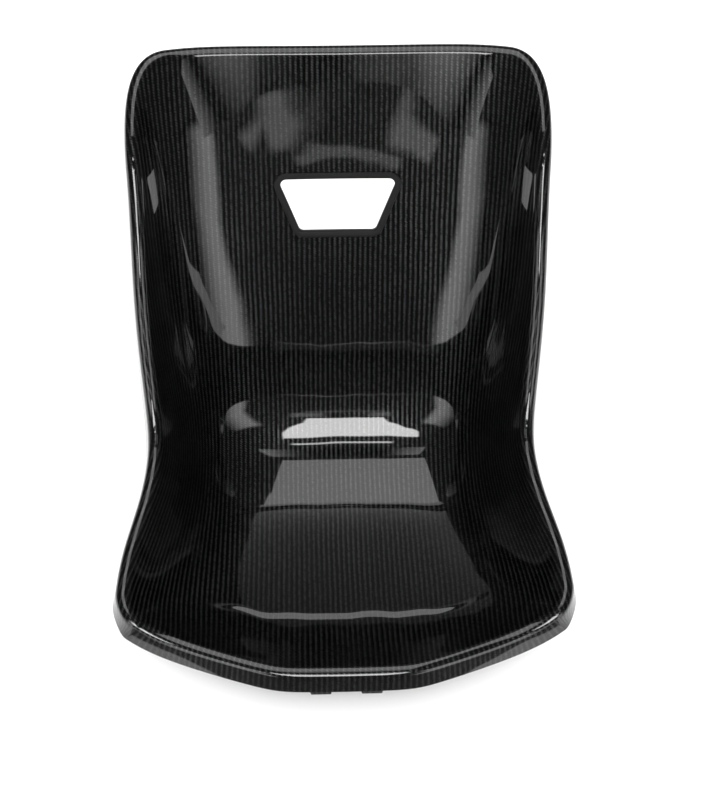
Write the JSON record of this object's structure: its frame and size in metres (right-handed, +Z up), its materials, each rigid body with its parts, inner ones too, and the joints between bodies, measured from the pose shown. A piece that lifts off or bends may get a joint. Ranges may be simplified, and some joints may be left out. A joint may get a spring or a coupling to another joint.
{
  "type": "racing seat",
  "caption": "Low-back racing bucket seat: gloss carbon laminate shell with rolled edge, trimmed harness slot, stiffening ribs and bolt-down bosses under the pan.",
  "frame": {"origin": "centre of the four-bolt floor pattern, on the plane the bosses stand on", "axes": "+Z up, away from the floor; the seat faces -Y; +X is the sitter's left"},
  "size_m": [0.4918, 0.5175, 0.5024],
  "materials": {
    "carbon_gloss": "2x2 twill carbon laminate under clear gloss lacquer",
    "carbon_satin": "bare moulded carbon, satin",
    "edge_rubber": "satin extruded rubber",
    "spring_steel": "rolled spring strip",
    "foam": "closed-cell foam",
    "stainless": "turned stainless"
  },
  "bodies": {
    "root": {"seat_shell": "carbon_gloss", "slot_trim": "edge_rubber", "slot_trim_carrier": "spring_steel", "rib_left": "carbon_satin", "rib_right": "carbon_satin", "rib_core_left": "foam", "rib_core_right": "foam", "boss_front_left": "carbon_satin", "boss_front_right": "carbon_satin", "boss_rear_left": "carbon_satin", "boss_rear_right": "carbon_satin", "insert_front_left": "stainless", "insert_front_right": "stainless", "insert_rear_left": "stainless", "insert_rear_right": "stainless"}
  },
  "joints": []
}
